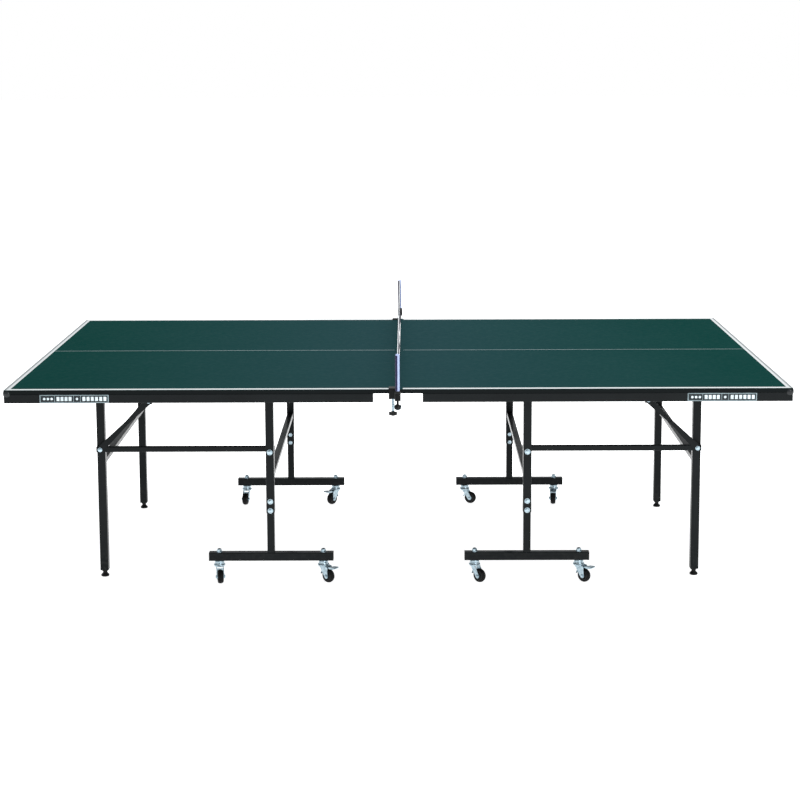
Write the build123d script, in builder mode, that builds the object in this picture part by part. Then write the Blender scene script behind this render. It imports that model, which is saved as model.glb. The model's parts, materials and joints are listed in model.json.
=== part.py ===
"""Full-size ping pong table made of two independent halves that fold and roll away.

Each half has a board on a steel under-frame, a T-footed base on four castors, and a pair
of outer legs that swing in under the board when its outer end is lifted.  A net on two
posts is clamped to the left half, at the seam.

Frame: millimetres, origin on the floor under the middle of the net, X along the table,
Y across it (the front is -Y), Z up.  A half's "out" is its distance |X| from the net and
"side" is -1 for the left half and +1 for the right one.
"""
from build123d import *
import math
import os

os.makedirs("parts", exist_ok=True)

# ---------------------------------------------------------------- playing surface
TABLE_LENGTH = 2740.0
TABLE_WIDTH = 1525.0
TABLE_HEIGHT = 760.0
BOARD_THICKNESS = 15.0
SEAM_HALF_GAP = 3.0
BOARD_CORNER_RADIUS = 4.0

# ---------------------------------------------------------------- under-frame
RAIL_HEIGHT = 32.0
RAIL_WIDTH = 20.0
TUBE_WALL = 1.5
TUBE_CORNER_RADIUS = 2.5
WELD_GAP = 0.2
RAIL_INNER_OUT = 88.0
EDGE_INSET = 1.5
EAR_THICKNESS = 3.0
EAR_LENGTH = 30.0
EAR_GAP = 0.5

# ---------------------------------------------------------------- legs and posts
SQUARE_TUBE = 30.0
LEG_OUT = 1088.0
LEG_HALF_SPREAD = 465.0
POST_OUT = 466.0
POST_HALF_SPREAD = 533.0
PIVOT_HEIGHT = 694.0
TUBE_TOP = 701.0
LEG_BOTTOM = 25.0
LEG_BAR_HEIGHT = 433.0
POST_BAR_HEIGHT = 388.0
CROSSBAR_WIDTH = 25.0
CROSSBAR_HEIGHT = 20.0
POST_TUBE_BOTTOM = 260.0
STEM_WIDTH = 26.6
STEM_TOP = 330.0
STEM_BOLT_HEIGHTS = (268.0, 302.0)

# ---------------------------------------------------------------- T foot and castors
FOOT_BAR_LENGTH = 448.0
FOOT_BAR_BOTTOM = 80.0
FOOT_BAR_HEIGHT = 30.0
CASTOR_OFFSET = 190.0
CASTOR_TRAIL = 25.0
WHEEL_RADIUS = 25.0
WHEEL_WIDTH = 20.0
FORK_GAP = 22.0
FORK_PLATE = 2.5
CROWN_RADIUS = 18.0
AXLE_RADIUS = 4.0
KINGPIN_RADIUS = 4.0
RUNNING_CLEARANCE = 0.05

# ---------------------------------------------------------------- folding linkage
LINK_HEIGHT = 485.0
LINK_BAR_THICKNESS = 18.0
LINK_BAR_HEIGHT = 20.0
LINK_OVERHANG = 12.0
BRACE_TOP_OUT = 905.0
BRACE_TOP_HEIGHT = 668.0
BRACE_LOWER_LENGTH = 140.0
BRACE_END_RADIUS = 13.0
BRACE_KNEE_RADIUS = 7.0
PLATE_THICKNESS = 3.0
BOLT_RADIUS = 5.0
BOLT_HOLE_RADIUS = 5.1
BOLT_HEAD_RADIUS = 9.0

# layers of the linkage, measured as |Y| from the middle of the table
LEG_OUTER_FACE = LEG_HALF_SPREAD + SQUARE_TUBE / 2
LINK_INNER_FACE = LEG_OUTER_FACE + 0.5
LINK_OUTER_FACE = LINK_INNER_FACE + LINK_BAR_THICKNESS
LOWER_BRACE_FACE = LINK_OUTER_FACE + 0.5
UPPER_BRACE_FACE = LOWER_BRACE_FACE + 9.0
BRACE_BRACKET_FACE = UPPER_BRACE_FACE + PLATE_THICKNESS + 0.5
POST_INNER_FACE = POST_HALF_SPREAD - SQUARE_TUBE / 2

# ---------------------------------------------------------------- net set
NET_OVERHANG = 152.5
NET_HEIGHT = 152.5
NET_THICKNESS = 2.0
NET_POST_RADIUS = 7.0
SOCKET_RADIUS = 10.5
SOCKET_TOP = 776.0
SOCKET_BOTTOM = 752.0
CLAMP_OUT = 17.5
CLAMP_WIDTH = 29.0
CLAMP_PLATE = 4.0
CLAMP_REACH = 30.0
CLAMP_JAW_TOP = 730.0
CLAMP_SCREW_INSET = 17.5
SPINDLE_RADIUS = 4.0
CLAMP_PAD_RADIUS = 10.0
CLAMP_KNOB_TOP = 678.7
CLAMP_KNOB_HEIGHT = 16.0

# ---------------------------------------------------------------- derived sizes
HALF_LENGTH = TABLE_LENGTH / 2
HALF_WIDTH = TABLE_WIDTH / 2
BOARD_BOTTOM = TABLE_HEIGHT - BOARD_THICKNESS
RAIL_BOTTOM = BOARD_BOTTOM - RAIL_HEIGHT
RAIL_MIDDLE = BOARD_BOTTOM - RAIL_HEIGHT / 2
FOOT_BAR_TOP = FOOT_BAR_BOTTOM + FOOT_BAR_HEIGHT

HALVES = {"left": -1, "right": 1}
SIDES = {"front": -1, "back": 1}

# A tube's section directions: its own x direction, and the direction it runs in.
TUBE_DIRECTIONS = {
    "X": ((0, 1, 0), (1, 0, 0)),
    "Y": ((1, 0, 0), (0, 1, 0)),
    "Z": ((1, 0, 0), (0, 0, 1)),
}


def section_plane(centre, axis):
    """The plane through centre that is square to a named axis."""
    x_dir, z_dir = TUBE_DIRECTIONS[axis]
    return Plane(origin=centre, x_dir=x_dir, z_dir=z_dir)


def add_tube(centre, axis, length, width, height, wall=TUBE_WALL):
    """Add a rectangular tube, open at both ends, to the part being built."""
    with BuildSketch(section_plane(centre, axis)) as section:
        RectangleRounded(width, height, TUBE_CORNER_RADIUS)
        Rectangle(width - 2 * wall, height - 2 * wall, mode=Mode.SUBTRACT)
    extrude(section.sketch, amount=length / 2, both=True)


def add_block(low, high, mode=Mode.ADD):
    """Add a rectangular block between two opposite corners."""
    middle = [(a + b) / 2 for a, b in zip(low, high)]
    size = [abs(b - a) for a, b in zip(low, high)]
    with Locations(tuple(middle)):
        Box(*size, mode=mode)


def add_rod(centre, axis, length, radius, mode=Mode.ADD):
    """Add a round bar centred on a point, or drill a hole with Mode.SUBTRACT."""
    with BuildSketch(section_plane(centre, axis)) as section:
        Circle(radius)
    extrude(section.sketch, amount=length / 2, both=True, mode=mode)


def add_span_rod(x, z, near, far, side_y, radius, mode=Mode.ADD):
    """Add a round bar along Y between two distances from the middle of the table."""
    middle = side_y * (near + far) / 2
    add_rod((x, middle, z), "Y", abs(far - near), radius, mode)


def add_tapered_plate(start, start_radius, end, end_radius, inner_face, side_y):
    """Add a flat link along two pivots, wider at one end than at the other.

    start and end are (x, z); the plate lies between inner_face and inner_face plus the
    plate thickness, on the front or the back side.
    """
    near = side_y * inner_face
    far = side_y * (inner_face + PLATE_THICKNESS)
    plane = Plane(origin=(0, max(near, far), 0), x_dir=(1, 0, 0), z_dir=(0, -1, 0))
    with BuildSketch(plane) as outline:
        with Locations(start):
            Circle(start_radius)
        with Locations(end):
            Circle(end_radius)
        make_hull()
    extrude(outline.sketch, amount=PLATE_THICKNESS)


def save(finished, name):
    """Label a finished part and write it to its own file."""
    finished.label = name
    export_step(finished, f"parts/{name}.step")


def board(side):
    """One playing board, with its four vertical corners just rounded."""
    near = side * SEAM_HALF_GAP
    far = side * HALF_LENGTH
    with BuildPart() as panel:
        add_block((near, -HALF_WIDTH, BOARD_BOTTOM), (far, HALF_WIDTH, TABLE_HEIGHT))
        fillet(panel.edges().filter_by(Axis.Z), BOARD_CORNER_RADIUS)
        chamfer(panel.faces().sort_by(Axis.Z)[-1].edges(), 0.8)
    return panel.part


def rails(side):
    """The under-frame: two side rails, an end rail and three cross rails."""
    rail_outer = HALF_LENGTH - EDGE_INSET
    side_rail_length = rail_outer - RAIL_INNER_OUT
    side_rail_middle = (rail_outer + RAIL_INNER_OUT) / 2
    rail_half_spread = HALF_WIDTH - EDGE_INSET - RAIL_WIDTH / 2
    cross_length = 2 * (rail_half_spread - RAIL_WIDTH / 2 - WELD_GAP)
    cross_rails = (RAIL_INNER_OUT + 12.0, POST_OUT, LEG_OUT, rail_outer - RAIL_WIDTH / 2)
    with BuildPart() as frame:
        for side_y in SIDES.values():
            centre = (side * side_rail_middle, side_y * rail_half_spread, RAIL_MIDDLE)
            add_tube(centre, "X", side_rail_length, RAIL_WIDTH, RAIL_HEIGHT)
        for out in cross_rails:
            add_tube((side * out, 0, RAIL_MIDDLE), "Y", cross_length, RAIL_WIDTH, RAIL_HEIGHT)
    return frame.part


def brackets(side):
    """Pivot ears under the cross rails, and one plate for each brace."""
    ear_bottom = PIVOT_HEIGHT - 12.0
    half_ear = EAR_LENGTH / 2
    with BuildPart() as ears:
        for side_y in SIDES.values():
            for out, spread in ((POST_OUT, POST_HALF_SPREAD), (LEG_OUT, LEG_HALF_SPREAD)):
                inner = spread - SQUARE_TUBE / 2 - EAR_GAP - EAR_THICKNESS
                outer = spread + SQUARE_TUBE / 2 + EAR_GAP
                for face in (inner, outer):
                    low = (side * (out - half_ear), side_y * face, ear_bottom)
                    high = (side * (out + half_ear), side_y * (face + EAR_THICKNESS), RAIL_BOTTOM)
                    add_block(low, high)
                reach = (inner - 1.0, outer + EAR_THICKNESS + 1.0)
                add_span_rod(side * out, PIVOT_HEIGHT, *reach, side_y, BOLT_HOLE_RADIUS, Mode.SUBTRACT)
            low = (side * (BRACE_TOP_OUT - 13.0), side_y * BRACE_BRACKET_FACE, BRACE_TOP_HEIGHT - 12.0)
            plate_face = BRACE_BRACKET_FACE + PLATE_THICKNESS
            high = (side * (BRACE_TOP_OUT + 13.0), side_y * plate_face, BOARD_BOTTOM - 3.0)
            add_block(low, high)
            # a foot turned outwards, screwed up against the board
            low = (side * (BRACE_TOP_OUT - 13.0), side_y * BRACE_BRACKET_FACE, BOARD_BOTTOM - 3.0)
            high = (side * (BRACE_TOP_OUT + 13.0), side_y * (BRACE_BRACKET_FACE + 28.0), BOARD_BOTTOM)
            add_block(low, high)
            reach = (BRACE_BRACKET_FACE - 1.0, plate_face + 1.0)
            hole = (side * BRACE_TOP_OUT, BRACE_TOP_HEIGHT)
            add_span_rod(*hole, *reach, side_y, BOLT_HOLE_RADIUS, Mode.SUBTRACT)
    return ears.part


def pivot_bolts(side):
    """Bolts that stay with the top: post pivots, leg pivots and upper brace pivots."""
    with BuildPart() as bolts:
        for side_y in SIDES.values():
            for out, spread in ((POST_OUT, POST_HALF_SPREAD), (LEG_OUT, LEG_HALF_SPREAD)):
                inner = spread - SQUARE_TUBE / 2 - EAR_GAP - EAR_THICKNESS
                outer = spread + SQUARE_TUBE / 2 + EAR_GAP + EAR_THICKNESS
                x = side * out
                add_span_rod(x, PIVOT_HEIGHT, inner - 4.0, outer + 3.5, side_y, BOLT_RADIUS)
                add_span_rod(x, PIVOT_HEIGHT, inner - 4.0, inner, side_y, BOLT_HEAD_RADIUS)
                add_span_rod(x, PIVOT_HEIGHT, outer, outer + 3.5, side_y, BOLT_HEAD_RADIUS)
            x = side * BRACE_TOP_OUT
            plate_outer = BRACE_BRACKET_FACE + PLATE_THICKNESS
            head_inner = UPPER_BRACE_FACE - 3.5
            head_outer = UPPER_BRACE_FACE - 0.3
            add_span_rod(x, BRACE_TOP_HEIGHT, head_inner, plate_outer + 2.5, side_y, BOLT_RADIUS)
            add_span_rod(x, BRACE_TOP_HEIGHT, head_inner, head_outer, side_y, BOLT_HEAD_RADIUS)
            add_span_rod(x, BRACE_TOP_HEIGHT, plate_outer, plate_outer + 2.5, side_y, BOLT_HEAD_RADIUS)
    return bolts.part


def trim(side):
    """Plastic pieces: two corner protectors, plugs for the side rails, and a blank badge."""
    wrap = 3.5
    reach = 34.0
    cap_bottom = BOARD_BOTTOM - 20.0
    cap_top = TABLE_HEIGHT - 3.0
    plug = 2.0
    badge_centre = 1124.0
    badge_half = (120.0, 14.0)
    badge_face = 1.2
    rail_face = HALF_WIDTH - EDGE_INSET
    with BuildPart() as pieces:
        for side_y in SIDES.values():
            corner_x = side * (HALF_LENGTH + wrap)
            corner_y = side_y * (HALF_WIDTH + wrap)
            with BuildSketch(Plane.XY.offset(cap_bottom)) as wall:
                with Locations((corner_x - side * reach / 2, corner_y - side_y * reach / 2)):
                    Rectangle(reach, reach)
                outer_ends = wall.vertices().group_by(Axis.X)[-1 if side > 0 else 0]
                outer_corner = outer_ends.sort_by(Axis.Y)[-1 if side_y > 0 else 0]
                fillet(outer_corner, 9.0)
                with Locations((corner_x - side * (reach / 2 + wrap), corner_y - side_y * (reach / 2 + wrap))):
                    Rectangle(reach + 0.01, reach + 0.01, mode=Mode.SUBTRACT)
            extrude(wall.sketch, amount=cap_top - cap_bottom)
            plug_y = side_y * (HALF_WIDTH - EDGE_INSET - RAIL_WIDTH / 2)
            plug_x = side * (RAIL_INNER_OUT - plug / 2)
            with Locations((plug_x, plug_y, RAIL_MIDDLE)):
                Box(plug, RAIL_WIDTH, RAIL_HEIGHT)
        low = (side * (badge_centre - badge_half[0]), -rail_face - badge_face, RAIL_MIDDLE - badge_half[1])
        high = (side * (badge_centre + badge_half[0]), -rail_face, RAIL_MIDDLE + badge_half[1])
        add_block(low, high)
    return pieces.part


def legs(side):
    """The two outer legs and the bar between them, with a threaded plug in each foot."""
    x = side * LEG_OUT
    height = TUBE_TOP - LEG_BOTTOM
    inner_width = SQUARE_TUBE - 2 * TUBE_WALL
    bar_length = 2 * (LEG_HALF_SPREAD - SQUARE_TUBE / 2 - WELD_GAP)
    plug_height = 15.0
    with BuildPart() as pair:
        for side_y in SIDES.values():
            y = side_y * LEG_HALF_SPREAD
            add_tube((x, y, LEG_BOTTOM + height / 2), "Z", height, SQUARE_TUBE, SQUARE_TUBE)
            with Locations((x, y, LEG_BOTTOM + plug_height / 2)):
                Box(inner_width, inner_width, plug_height)
            reach = (LEG_HALF_SPREAD - SQUARE_TUBE, LEG_HALF_SPREAD + SQUARE_TUBE)
            for z in (PIVOT_HEIGHT, LINK_HEIGHT):
                add_span_rod(x, z, *reach, side_y, BOLT_HOLE_RADIUS, Mode.SUBTRACT)
            hole_centre = (x, y, LEG_BOTTOM + plug_height / 2)
            add_rod(hole_centre, "Z", plug_height + 2, BOLT_HOLE_RADIUS, Mode.SUBTRACT)
        add_tube((x, 0, LEG_BAR_HEIGHT), "Y", bar_length, CROSSBAR_WIDTH, CROSSBAR_HEIGHT)
    return pair.part


def leg_bolts(side):
    """Bolts that stay with the legs, through the link bar and the lower brace."""
    x = side * LEG_OUT
    inner = LEG_HALF_SPREAD - SQUARE_TUBE / 2
    outer = LOWER_BRACE_FACE + PLATE_THICKNESS + 0.3
    with BuildPart() as bolts:
        for side_y in SIDES.values():
            add_span_rod(x, LINK_HEIGHT, inner - 3.0, outer + 4.0, side_y, BOLT_RADIUS)
            add_span_rod(x, LINK_HEIGHT, inner - 3.0, inner, side_y, BOLT_HEAD_RADIUS)
            add_span_rod(x, LINK_HEIGHT, outer, outer + 4.0, side_y, BOLT_HEAD_RADIUS)
    return bolts.part


def leveller(side, side_y):
    """A screw-adjusted foot: a wide pad, a conical shell and a threaded stud."""
    pad_radius = 15.0
    profile = [
        (0, 0), (pad_radius - 1, 0), (pad_radius, 1.5), (pad_radius, 5), (8, 13), (8, 18),
        (11, 20), (11, LEG_BOTTOM - 0.3), (BOLT_RADIUS, LEG_BOTTOM - 0.3),
        (BOLT_RADIUS, LEG_BOTTOM + 22), (0, LEG_BOTTOM + 22),
    ]
    origin = (side * LEG_OUT, side_y * LEG_HALF_SPREAD, 0)
    with BuildPart() as foot:
        with BuildSketch(Plane(origin=origin, x_dir=(1, 0, 0), z_dir=(0, -1, 0))) as half_profile:
            with BuildLine():
                Polyline(*profile, close=True)
            make_face()
        revolve(half_profile.sketch, axis=Axis(origin, (0, 0, 1)))
    return foot.part


def link_bars(side):
    """The horizontal bars between posts and legs, one on each side of the table."""
    near = POST_OUT - LINK_OVERHANG
    far = LEG_OUT + LINK_OVERHANG
    middle_face = (LINK_INNER_FACE + LINK_OUTER_FACE) / 2
    with BuildPart() as bars:
        for side_y in SIDES.values():
            centre = (side * (near + far) / 2, side_y * middle_face, LINK_HEIGHT)
            add_tube(centre, "X", far - near, LINK_BAR_THICKNESS, LINK_BAR_HEIGHT)
            for out in (POST_OUT, LEG_OUT):
                reach = (LINK_INNER_FACE - 1.0, LINK_OUTER_FACE + 1.0)
                add_span_rod(side * out, LINK_HEIGHT, *reach, side_y, BOLT_HOLE_RADIUS, Mode.SUBTRACT)
    return bars.part


def knee_point(side):
    """The knee of the open brace, on the straight line between its two end pivots."""
    run = BRACE_TOP_OUT - LEG_OUT
    rise = BRACE_TOP_HEIGHT - LINK_HEIGHT
    share = BRACE_LOWER_LENGTH / math.hypot(run, rise)
    return (side * (LEG_OUT + share * run), LINK_HEIGHT + share * rise)


def brace_lower(side):
    """The lower brace links, from the leg to the knee, each with its knee rivet."""
    knee = knee_point(side)
    foot = (side * LEG_OUT, LINK_HEIGHT)
    rivet_end = UPPER_BRACE_FACE - 0.3
    with BuildPart() as links:
        for side_y in SIDES.values():
            add_tapered_plate(foot, BRACE_END_RADIUS, knee, BRACE_KNEE_RADIUS, LOWER_BRACE_FACE, side_y)
            reach = (LOWER_BRACE_FACE - 1.0, LOWER_BRACE_FACE + PLATE_THICKNESS + 1.0)
            add_span_rod(*foot, *reach, side_y, BOLT_HOLE_RADIUS, Mode.SUBTRACT)
            rivet_start = LOWER_BRACE_FACE + PLATE_THICKNESS / 2
            add_span_rod(*knee, rivet_start, rivet_end, side_y, 4.0)
    return links.part


def brace_upper(side):
    """The upper brace links, from the knee to the top."""
    knee = knee_point(side)
    head = (side * BRACE_TOP_OUT, BRACE_TOP_HEIGHT)
    with BuildPart() as links:
        for side_y in SIDES.values():
            add_tapered_plate(head, BRACE_END_RADIUS, knee, BRACE_KNEE_RADIUS, UPPER_BRACE_FACE, side_y)
            reach = (UPPER_BRACE_FACE - 1.0, UPPER_BRACE_FACE + PLATE_THICKNESS + 1.0)
            add_span_rod(*head, *reach, side_y, BOLT_HOLE_RADIUS, Mode.SUBTRACT)
    return links.part


def posts(side):
    """The two posts over the T feet and the bar between them."""
    x = side * POST_OUT
    height = TUBE_TOP - POST_TUBE_BOTTOM
    bar_length = 2 * (POST_INNER_FACE - WELD_GAP)
    with BuildPart() as pair:
        for side_y in SIDES.values():
            y = side_y * POST_HALF_SPREAD
            add_tube((x, y, POST_TUBE_BOTTOM + height / 2), "Z", height, SQUARE_TUBE, SQUARE_TUBE)
            reach = (POST_HALF_SPREAD - SQUARE_TUBE, POST_HALF_SPREAD + SQUARE_TUBE)
            for z in (PIVOT_HEIGHT, LINK_HEIGHT, *STEM_BOLT_HEIGHTS):
                add_span_rod(x, z, *reach, side_y, BOLT_HOLE_RADIUS, Mode.SUBTRACT)
        add_tube((x, 0, POST_BAR_HEIGHT), "Y", bar_length, CROSSBAR_WIDTH, CROSSBAR_HEIGHT)
    return pair.part


def foot_bars(side):
    """The T feet: a bar along X with a stem that slides up inside the post."""
    x = side * POST_OUT
    bar_middle = FOOT_BAR_BOTTOM + FOOT_BAR_HEIGHT / 2
    stem_bottom = FOOT_BAR_TOP + WELD_GAP
    with BuildPart() as feet:
        for side_y in SIDES.values():
            y = side_y * POST_HALF_SPREAD
            add_tube((x, y, bar_middle), "X", FOOT_BAR_LENGTH, FOOT_BAR_HEIGHT, FOOT_BAR_HEIGHT)
            for end in (-1, 1):
                hole = (x + end * CASTOR_OFFSET, y, bar_middle)
                add_rod(hole, "Z", FOOT_BAR_HEIGHT + 2, BOLT_HOLE_RADIUS, Mode.SUBTRACT)
            stem_middle = (stem_bottom + STEM_TOP) / 2
            add_tube((x, y, stem_middle), "Z", STEM_TOP - stem_bottom, STEM_WIDTH, STEM_WIDTH)
            reach = (POST_HALF_SPREAD - SQUARE_TUBE, POST_HALF_SPREAD + SQUARE_TUBE)
            for z in STEM_BOLT_HEIGHTS:
                add_span_rod(x, z, *reach, side_y, BOLT_HOLE_RADIUS, Mode.SUBTRACT)
    return feet.part


def foot_plugs(side):
    """Plastic plugs in the ends of the foot bars."""
    plug_out = 3.0
    bar_middle = FOOT_BAR_BOTTOM + FOOT_BAR_HEIGHT / 2
    with BuildPart() as plugs:
        for side_y in SIDES.values():
            for end in (-1, 1):
                x = side * POST_OUT + end * (FOOT_BAR_LENGTH / 2 + plug_out / 2)
                with Locations((x, side_y * POST_HALF_SPREAD, bar_middle)):
                    Box(plug_out, FOOT_BAR_HEIGHT, FOOT_BAR_HEIGHT)
        fillet(plugs.edges().filter_by(Axis.X), 2.0)
    return plugs.part


def base_bolts(side):
    """Bolts that stay with the base: link bar pivots, stem bolts and castor kingpins."""
    outer = POST_HALF_SPREAD + SQUARE_TUBE / 2
    inner = POST_INNER_FACE
    kingpin = [
        (0, 55), (7, 55), (7, 57.7), (KINGPIN_RADIUS, 57.7), (KINGPIN_RADIUS, 72), (17, 72), (17, 80),
        (BOLT_RADIUS, 80), (BOLT_RADIUS, FOOT_BAR_TOP), (10, FOOT_BAR_TOP), (10, FOOT_BAR_TOP + 2),
        (8, FOOT_BAR_TOP + 2), (8, FOOT_BAR_TOP + 8), (5, FOOT_BAR_TOP + 12), (0, FOOT_BAR_TOP + 13),
    ]
    with BuildPart() as bolts:
        for side_y in SIDES.values():
            x = side * POST_OUT
            add_span_rod(x, LINK_HEIGHT, LINK_INNER_FACE - 5.0, outer + 5.0, side_y, BOLT_RADIUS)
            add_span_rod(x, LINK_HEIGHT, LINK_INNER_FACE - 5.0, LINK_INNER_FACE - 0.4, side_y, BOLT_HEAD_RADIUS)
            add_span_rod(x, LINK_HEIGHT, LINK_OUTER_FACE + 0.4, inner, side_y, BOLT_HEAD_RADIUS)
            add_span_rod(x, LINK_HEIGHT, outer, outer + 5.0, side_y, 11.0)
            for z in STEM_BOLT_HEIGHTS:
                add_span_rod(x, z, inner - 5.0, outer + 5.0, side_y, BOLT_RADIUS)
                add_span_rod(x, z, inner - 5.0, inner, side_y, BOLT_HEAD_RADIUS)
                add_span_rod(x, z, outer, outer + 5.0, side_y, 10.0)
            for end in (-1, 1):
                origin = (x + end * CASTOR_OFFSET, side_y * POST_HALF_SPREAD, 0)
                plane = Plane(origin=origin, x_dir=(1, 0, 0), z_dir=(0, -1, 0))
                with BuildSketch(plane) as half_profile:
                    with BuildLine():
                        Polyline(*kingpin, close=True)
                    make_face()
                revolve(half_profile.sketch, axis=Axis(origin, (0, 0, 1)))
    return bolts.part


# ---------------------------------------------------------------- castors
# Swivel angle of each castor at rest, in degrees about +Z from +X to the trailing wheel.
CASTOR_YAW = {
    ("left", "outer", "front"): -78.0,
    ("left", "inner", "front"): -42.0,
    ("left", "outer", "back"): -100.0,
    ("left", "inner", "back"): -128.0,
    ("right", "inner", "front"): -45.0,
    ("right", "outer", "front"): -42.0,
    ("right", "inner", "back"): -20.0,
    ("right", "outer", "back"): -98.0,
}
# The castor at the +X end of each T foot has a brake pedal.
PEDAL_PIVOT = (24.0, 56.0)


def castor_plane(half, end, side_name, y_offset=0.0):
    """A castor's own vertical plane: x along the trail, y up, through the swivel axis."""
    side = HALVES[half]
    out = POST_OUT + (CASTOR_OFFSET if end == "outer" else -CASTOR_OFFSET)
    yaw = math.radians(CASTOR_YAW[(half, end, side_name)])
    trail = (math.cos(yaw), math.sin(yaw), 0)
    normal = (math.sin(yaw), -math.cos(yaw), 0)
    foot = Vector(side * out, SIDES[side_name] * POST_HALF_SPREAD, 0)
    origin = foot - Vector(*normal) * y_offset
    return Plane(origin=origin, x_dir=trail, z_dir=normal)


def castor_fork(half, end, side_name, braked):
    """A swivelling fork: crown with a bore for the kingpin, two side plates and an axle."""
    middle = castor_plane(half, end, side_name)
    swivel = Axis(middle.origin, (0, 0, 1))
    crown = [
        (KINGPIN_RADIUS + RUNNING_CLEARANCE, 58), (CROWN_RADIUS, 58), (CROWN_RADIUS, 66),
        (CROWN_RADIUS - 1.5, 71.7), (KINGPIN_RADIUS + RUNNING_CLEARANCE, 71.7),
    ]
    with BuildPart() as fork:
        with BuildSketch(middle) as crown_profile:
            with BuildLine():
                Polyline(*crown, close=True)
            make_face()
        revolve(crown_profile.sketch, axis=swivel)
        for face in (-1, 1):
            centre = face * (FORK_GAP + FORK_PLATE) / 2
            with BuildSketch(castor_plane(half, end, side_name, centre)) as plate:
                with Locations((-6, 60), (11, 60)):
                    Circle(2.5)
                with Locations((CASTOR_TRAIL, WHEEL_RADIUS)):
                    Circle(8.5)
                if braked:
                    with Locations(PEDAL_PIVOT):
                        Circle(5.5)
                make_hull()
            extrude(plate.sketch, amount=FORK_PLATE / 2, both=True)
        with BuildSketch(middle) as axle:
            with Locations((CASTOR_TRAIL, WHEEL_RADIUS)):
                Circle(AXLE_RADIUS)
        extrude(axle.sketch, amount=FORK_GAP / 2 + FORK_PLATE + 2, both=True)
    return fork.part


def castor_wheel(half, end, side_name):
    """A wheel: hub with a bore, thin web and a rounded tyre."""
    half_width = WHEEL_WIDTH / 2
    bore = AXLE_RADIUS + RUNNING_CLEARANCE
    middle = castor_plane(half, end, side_name)
    axle_centre = middle.from_local_coords(Vector(CASTOR_TRAIL, WHEEL_RADIUS, 0))
    spin = Axis(axle_centre, middle.z_dir)
    profile_plane = Plane(origin=axle_centre, x_dir=(0, 0, 1), z_dir=middle.x_dir)
    with BuildPart() as wheel:
        with BuildSketch(profile_plane) as half_profile:
            with BuildLine():
                Polyline(
                    (bore, -half_width), (10, -half_width), (12, -half_width + 3.5),
                    (18, -half_width + 3.5), (20, -half_width), (WHEEL_RADIUS - 3, -half_width),
                )
                ThreePointArc(
                    (WHEEL_RADIUS - 3, -half_width), (WHEEL_RADIUS, 0), (WHEEL_RADIUS - 3, half_width),
                )
                Polyline(
                    (WHEEL_RADIUS - 3, half_width), (20, half_width), (18, half_width - 3.5),
                    (12, half_width - 3.5), (10, half_width), (bore, half_width), (bore, -half_width),
                )
            make_face()
        revolve(half_profile.sketch, axis=spin)
    return wheel.part


def brake_pedal(half, end, side_name):
    """A foot pedal hinged between the fork's plates."""
    middle = castor_plane(half, end, side_name)
    tilt = math.radians(8.0)
    along = (math.cos(tilt), math.sin(tilt))
    neck_half_width = 9.0
    paddle_half_width = 13.0
    x0, z0 = PEDAL_PIVOT
    with BuildPart() as pedal:
        with BuildSketch(middle) as root:
            with Locations(PEDAL_PIVOT):
                Circle(4.0)
        extrude(root.sketch, amount=FORK_GAP / 2 - 0.3, both=True)
        with BuildSketch(middle) as arm:
            with Locations(PEDAL_PIVOT, (x0 + 34 * along[0], z0 + 34 * along[1])):
                Circle(2.2)
            make_hull()
        extrude(arm.sketch, amount=neck_half_width, both=True)
        with BuildSketch(middle) as paddle:
            with Locations(
                (x0 + 18 * along[0], z0 + 18 * along[1]), (x0 + 38 * along[0], z0 + 38 * along[1] - 1),
            ):
                Circle(3.0)
            make_hull()
        extrude(paddle.sketch, amount=paddle_half_width, both=True)
    return pedal.part


# ---------------------------------------------------------------- net set
POST_SPREAD = HALF_WIDTH + NET_OVERHANG
SCREW_SPREAD = HALF_WIDTH - CLAMP_SCREW_INSET
NET_BOTTOM = TABLE_HEIGHT + 1.0
NET_TOP = TABLE_HEIGHT + NET_HEIGHT


def net_supports():
    """Two C clamps on the board's edges with arms and sockets for the net posts."""
    low_x = -CLAMP_OUT - CLAMP_WIDTH / 2
    high_x = -CLAMP_OUT + CLAMP_WIDTH / 2
    web = HALF_WIDTH + 1.0
    jaw_inner = HALF_WIDTH - CLAMP_REACH
    jaw_bottom = CLAMP_JAW_TOP - CLAMP_PLATE
    arm_top = TABLE_HEIGHT
    arm_bottom = arm_top - 8.0
    with BuildPart() as clamps:
        for side_y in SIDES.values():
            add_block(
                (low_x, side_y * jaw_inner, TABLE_HEIGHT),
                (high_x, side_y * (web + CLAMP_PLATE), TABLE_HEIGHT + CLAMP_PLATE),
            )
            add_block(
                (low_x, side_y * web, jaw_bottom),
                (high_x, side_y * (web + CLAMP_PLATE), TABLE_HEIGHT + CLAMP_PLATE),
            )
            add_block(
                (low_x, side_y * jaw_inner, jaw_bottom),
                (high_x, side_y * (web + CLAMP_PLATE), CLAMP_JAW_TOP),
            )
            add_block(
                (high_x - 10.0, side_y * (web + CLAMP_PLATE / 2), arm_bottom),
                (high_x + 8.0, side_y * (web + 16.0), arm_top),
            )
            add_block(
                (-5.0, side_y * (web + 8.0), arm_bottom),
                (5.0, side_y * POST_SPREAD, arm_top),
            )
            socket_middle = (0, side_y * POST_SPREAD, (SOCKET_BOTTOM + SOCKET_TOP) / 2)
            add_rod(socket_middle, "Z", SOCKET_TOP - SOCKET_BOTTOM, SOCKET_RADIUS)
            hole = (0, side_y * POST_SPREAD, SOCKET_TOP - 10.0)
            add_rod(hole, "Z", 40.0, NET_POST_RADIUS + 0.05, Mode.SUBTRACT)
            screw_hole = (-CLAMP_OUT, side_y * SCREW_SPREAD, CLAMP_JAW_TOP - CLAMP_PLATE / 2)
            add_rod(screw_hole, "Z", CLAMP_PLATE + 2, SPINDLE_RADIUS + RUNNING_CLEARANCE, Mode.SUBTRACT)
    return clamps.part


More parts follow.
